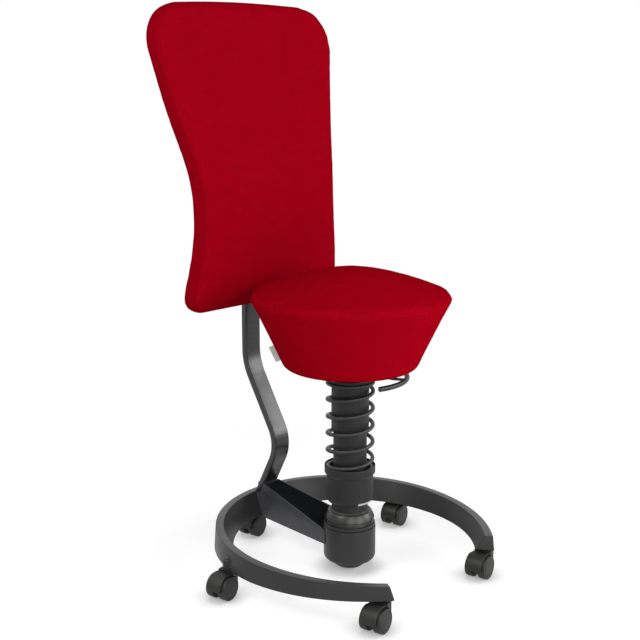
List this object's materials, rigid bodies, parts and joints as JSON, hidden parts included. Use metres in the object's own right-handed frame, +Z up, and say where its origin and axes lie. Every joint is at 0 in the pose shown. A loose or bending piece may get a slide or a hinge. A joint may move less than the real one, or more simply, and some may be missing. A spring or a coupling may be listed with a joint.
{
  "type": "spring balance stool",
  "caption": "Swinging sprung stool with a conical padded seat, tall upholstered back on a bent bar, coil-spring column and open ring base on casters.",
  "frame": {"origin": "on the floor, on the axis of the sprung column with the seat upright", "axes": "+Z up along the column, -Y to the front, +Y to the back, +X to the sitter's left"},
  "size_m": [0.617, 0.6155, 1.1982],
  "materials": {
    "red_fabric": "woven upholstery cloth, matte",
    "anthracite_paint": "fine-textured powder coat",
    "black_plastic": "moulded, satin",
    "caster_plastic": "moulded, satin",
    "black_rubber": "moulded, matte",
    "bearing_plastic": "turned, plain",
    "dark_steel": "black-finished steel",
    "tag_fabric": "woven tape, blank"
  },
  "bodies": {
    "base": {"base_ring": "anthracite_paint", "base_arm": "anthracite_paint", "arm_cover": "black_plastic", "foot_pot": "anthracite_paint", "pot_collar": "black_plastic", "swing_bush": "black_rubber", "back_bar": "anthracite_paint", "back_bracket": "anthracite_paint", "back_shell": "black_plastic", "back_cushion": "red_fabric", "bar_bolt_left": "dark_steel", "bar_bolt_right": "dark_steel"},
    "knob": {"sway_knob": "black_plastic"},
    "clamp": {"clamp_plate": "dark_steel"},
    "liner": {"swing_liner": "bearing_plastic"},
    "stand": {"dome_cap": "black_plastic", "stand_tube": "black_plastic", "guide_bush": "bearing_plastic"},
    "adjuster": {"spring_washer": "dark_steel", "coil_spring": "dark_steel"},
    "cup": {"spring_cup": "black_plastic"},
    "sleeve": {"guide_sleeve": "black_plastic", "spring_plate": "black_plastic", "guide_tube": "dark_steel", "gas_bush": "bearing_plastic", "thrust_bearing": "dark_steel"},
    "rod": {"gas_rod": "dark_steel"},
    "seat": {"gas_cylinder": "dark_steel", "seat_plate": "dark_steel", "lever_pin": "dark_steel", "seat_shell": "black_plastic", "seat_cushion": "red_fabric", "sewn_tag": "tag_fabric"},
    "lever": {"release_lever": "dark_steel"},
    "valve": {"valve_pin": "dark_steel"},
    "caster1": {"caster1_hood": "caster_plastic", "caster1_stem": "dark_steel", "caster1_axle": "dark_steel"},
    "caster1_wheel_a": {"caster1_wheel_a": "caster_plastic"},
    "caster1_wheel_b": {"caster1_wheel_b": "caster_plastic"},
    "caster2": {"caster2_hood": "caster_plastic", "caster2_stem": "dark_steel", "caster2_axle": "dark_steel"},
    "caster2_wheel_a": {"caster2_wheel_a": "caster_plastic"},
    "caster2_wheel_b": {"caster2_wheel_b": "caster_plastic"},
    "caster3": {"caster3_hood": "caster_plastic", "caster3_stem": "dark_steel", "caster3_axle": "dark_steel"},
    "caster3_wheel_a": {"caster3_wheel_a": "caster_plastic"},
    "caster3_wheel_b": {"caster3_wheel_b": "caster_plastic"},
    "caster4": {"caster4_hood": "caster_plastic", "caster4_stem": "dark_steel", "caster4_axle": "dark_steel"},
    "caster4_wheel_a": {"caster4_wheel_a": "caster_plastic"},
    "caster4_wheel_b": {"caster4_wheel_b": "caster_plastic"},
    "caster5": {"caster5_hood": "caster_plastic", "caster5_stem": "dark_steel", "caster5_axle": "dark_steel"},
    "caster5_wheel_a": {"caster5_wheel_a": "caster_plastic"},
    "caster5_wheel_b": {"caster5_wheel_b": "caster_plastic"}
  },
  "joints": [
    {"name": "knob_turn", "type": "hinge", "parent": "base", "child": "knob", "pos_m": [0, 0, 0.022], "axis": [0, 0, 1], "range_deg": [0, 360]},
    {"name": "clamp_lift", "type": "slide", "parent": "base", "child": "clamp", "axis": [0, 0, 1], "range_m": [0, 0.002]},
    {"name": "sway_side", "type": "hinge", "parent": "base", "child": "liner", "pos_m": [0, 0, 0.101], "axis": [0, 1, 0], "range_deg": [-7, 7], "stiffness_Nm_per_rad": 300},
    {"name": "sway_fore", "type": "hinge", "parent": "liner", "child": "stand", "pos_m": [0, 0, 0.101], "axis": [1, 0, 0], "range_deg": [-2.5, 7], "stiffness_Nm_per_rad": 300},
    {"name": "spring_adjust", "type": "slide", "parent": "stand", "child": "adjuster", "axis": [0, 0, 1], "range_m": [0, 0.015]},
    {"name": "cup_turn", "type": "hinge", "parent": "adjuster", "child": "cup", "pos_m": [0, 0, 0.22], "axis": [0, 0, 1], "range_deg": [0, 1350]},
    {"name": "bounce", "type": "slide", "parent": "adjuster", "child": "sleeve", "axis": [0, 0, 1], "range_m": [-0.06, 0], "stiffness_N_per_m": 18000, "springref_m": 0.02, "deforming": ["coil_spring"]},
    {"name": "seat_swivel", "type": "hinge", "parent": "sleeve", "child": "rod", "pos_m": [0, 0, 0.198], "axis": [0, 0, 1], "continuous": true},
    {"name": "seat_height", "type": "slide", "parent": "rod", "child": "seat", "axis": [0, 0, 1], "range_m": [-0.1, 0]},
    {"name": "lever_lift", "type": "hinge", "parent": "seat", "child": "lever", "pos_m": [0.01268, -0.02384, 0.578], "axis": [-0.8829, -0.4695, 0], "range_deg": [0, 5.5], "stiffness_Nm_per_rad": 3},
    {"name": "valve_press", "type": "slide", "parent": "seat", "child": "valve", "axis": [0, 0, 1], "range_m": [-0.0027, 0]},
    {"name": "caster1_swivel", "type": "hinge", "parent": "base", "child": "caster1", "pos_m": [0, 0.289, 0.058], "axis": [0, 0, 1], "continuous": true},
    {"name": "caster1_roll_a", "type": "hinge", "parent": "caster1", "child": "caster1_wheel_a", "pos_m": [-0.01923, 0.28578, 0.025], "axis": [0.165, -0.9863, 0], "continuous": true},
    {"name": "caster1_roll_b", "type": "hinge", "parent": "caster1", "child": "caster1_wheel_b", "pos_m": [-0.01923, 0.28578, 0.025], "axis": [0.165, -0.9863, 0], "continuous": true},
    {"name": "caster2_swivel", "type": "hinge", "parent": "base", "child": "caster2", "pos_m": [0.27486, 0.08931, 0.058], "axis": [0, 0, 1], "continuous": true},
    {"name": "caster2_roll_a", "type": "hinge", "parent": "caster2", "child": "caster2_wheel_a", "pos_m": [0.25562, 0.08609, 0.025], "axis": [0.165, -0.9863, 0], "continuous": true},
    {"name": "caster2_roll_b", "type": "hinge", "parent": "caster2", "child": "caster2_wheel_b", "pos_m": [0.25562, 0.08609, 0.025], "axis": [0.165, -0.9863, 0], "continuous": true},
    {"name": "caster3_swivel", "type": "hinge", "parent": "base", "child": "caster3", "pos_m": [0.16987, -0.23381, 0.058], "axis": [0, 0, 1], "continuous": true},
    {"name": "caster3_roll_a", "type": "hinge", "parent": "caster3", "child": "caster3_wheel_a", "pos_m": [0.15064, -0.23702, 0.025], "axis": [0.165, -0.9863, 0], "continuous": true},
    {"name": "caster3_roll_b", "type": "hinge", "parent": "caster3", "child": "caster3_wheel_b", "pos_m": [0.15064, -0.23702, 0.025], "axis": [0.165, -0.9863, 0], "continuous": true},
    {"name": "caster4_swivel", "type": "hinge", "parent": "base", "child": "caster4", "pos_m": [-0.16987, -0.23381, 0.058], "axis": [0, 0, 1], "continuous": true},
    {"name": "caster4_roll_a", "type": "hinge", "parent": "caster4", "child": "caster4_wheel_a", "pos_m": [-0.1891, -0.23702, 0.025], "axis": [0.165, -0.9863, 0], "continuous": true},
    {"name": "caster4_roll_b", "type": "hinge", "parent": "caster4", "child": "caster4_wheel_b", "pos_m": [-0.1891, -0.23702, 0.025], "axis": [0.165, -0.9863, 0], "continuous": true},
    {"name": "caster5_swivel", "type": "hinge", "parent": "base", "child": "caster5", "pos_m": [-0.27486, 0.08931, 0.058], "axis": [0, 0, 1], "continuous": true},
    {"name": "caster5_roll_a", "type": "hinge", "parent": "caster5", "child": "caster5_wheel_a", "pos_m": [-0.29409, 0.08609, 0.025], "axis": [0.165, -0.9863, 0], "continuous": true},
    {"name": "caster5_roll_b", "type": "hinge", "parent": "caster5", "child": "caster5_wheel_b", "pos_m": [-0.29409, 0.08609, 0.025], "axis": [0.165, -0.9863, 0], "continuous": true}
  ],
  "couplings": [
    {"joint": "knob_turn", "follows": "clamp_lift", "rad_per_m": 3141.6},
    {"joint": "cup_turn", "follows": "spring_adjust", "rad_per_m": 1570.8},
    {"joint": "valve_press", "follows": "lever_lift", "m_per_rad": -0.027}
  ]
}
